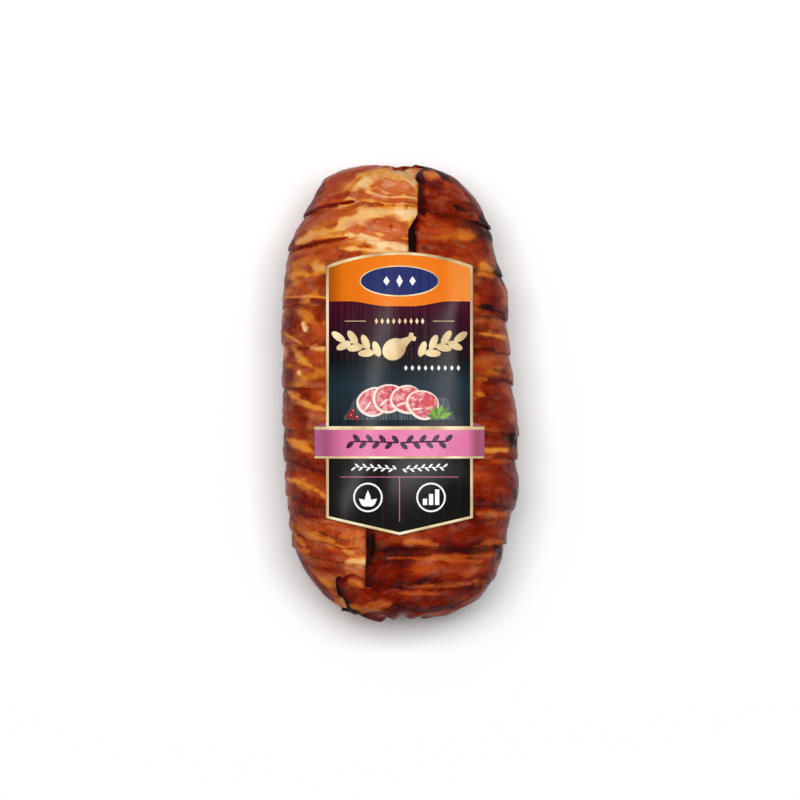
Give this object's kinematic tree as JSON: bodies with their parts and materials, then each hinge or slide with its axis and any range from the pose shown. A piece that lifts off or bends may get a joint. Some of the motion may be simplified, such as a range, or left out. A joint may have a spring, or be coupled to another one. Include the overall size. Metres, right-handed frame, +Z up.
{
  "type": "bacon-wrapped roast ham",
  "caption": "Long roast ham wrapped round in overlapping rashers of bacon whose browned ends lap along a seam on top, with a die-cut label laid over it.",
  "frame": {"origin": "on the table, under the middle of the ham", "axes": "+X across the ham, +Y along it towards the label's arched end, +Z up, square to the table"},
  "size_m": [0.1134, 0.2191, 0.0904],
  "materials": {
    "roast_meat": "satin",
    "bacon": "gloss",
    "bacon_pale": "gloss",
    "label_print": "gloss"
  },
  "bodies": {
    "root": {"ham": "roast_meat", "rasher_01": "bacon", "rasher_02": "bacon_pale", "rasher_03": "bacon", "rasher_04": "bacon_pale", "rasher_05": "bacon", "rasher_06": "bacon_pale", "rasher_07": "bacon", "rasher_08": "bacon_pale", "rasher_09": "bacon", "rasher_10": "bacon_pale", "rasher_11": "bacon", "rasher_12": "bacon_pale", "label": "label_print"}
  },
  "joints": []
}
